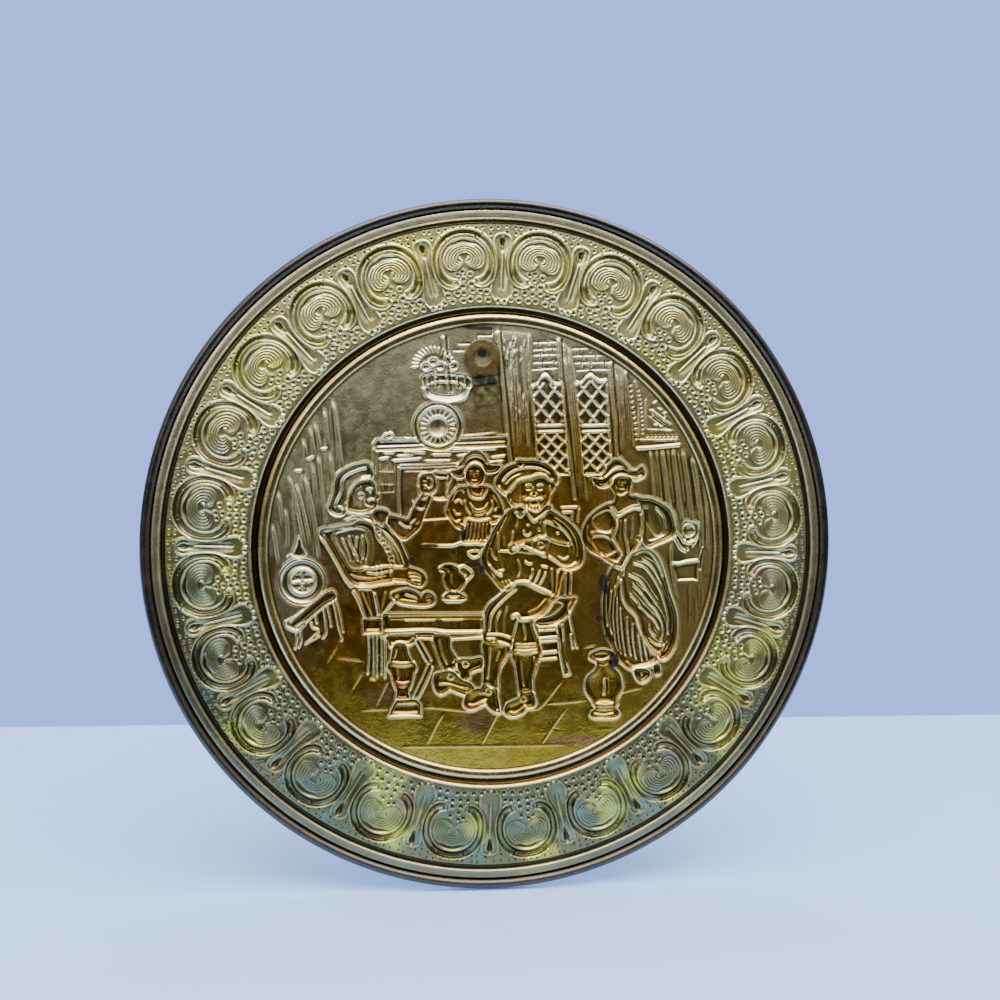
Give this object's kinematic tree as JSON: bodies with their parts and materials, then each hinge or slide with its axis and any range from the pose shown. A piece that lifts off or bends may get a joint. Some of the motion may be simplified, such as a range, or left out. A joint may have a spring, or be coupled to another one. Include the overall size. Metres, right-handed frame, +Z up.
{
  "type": "pressed brass relief wall plate",
  "caption": "Round pressed brass wall plate seen from its hollow wall side: a tavern scene inside a border of scrolled medallions, with a rolled edge and a soldered hanging tab.",
  "frame": {"origin": "on the hanging tab's flat wall-side face, just above its hole, where the tab lies against the wall", "axes": "+Z is up on the wall, -Y faces the wall, +Y is the decorative front, +X is to the right when the wall side is looked at"},
  "size_m": [0.3046, 0.0073, 0.3046],
  "materials": {
    "brass_sheet": "satin",
    "brass_tab": "satin"
  },
  "bodies": {
    "root": {"pressed_sheet": "brass_sheet", "hanging_tab": "brass_tab"}
  },
  "joints": []
}
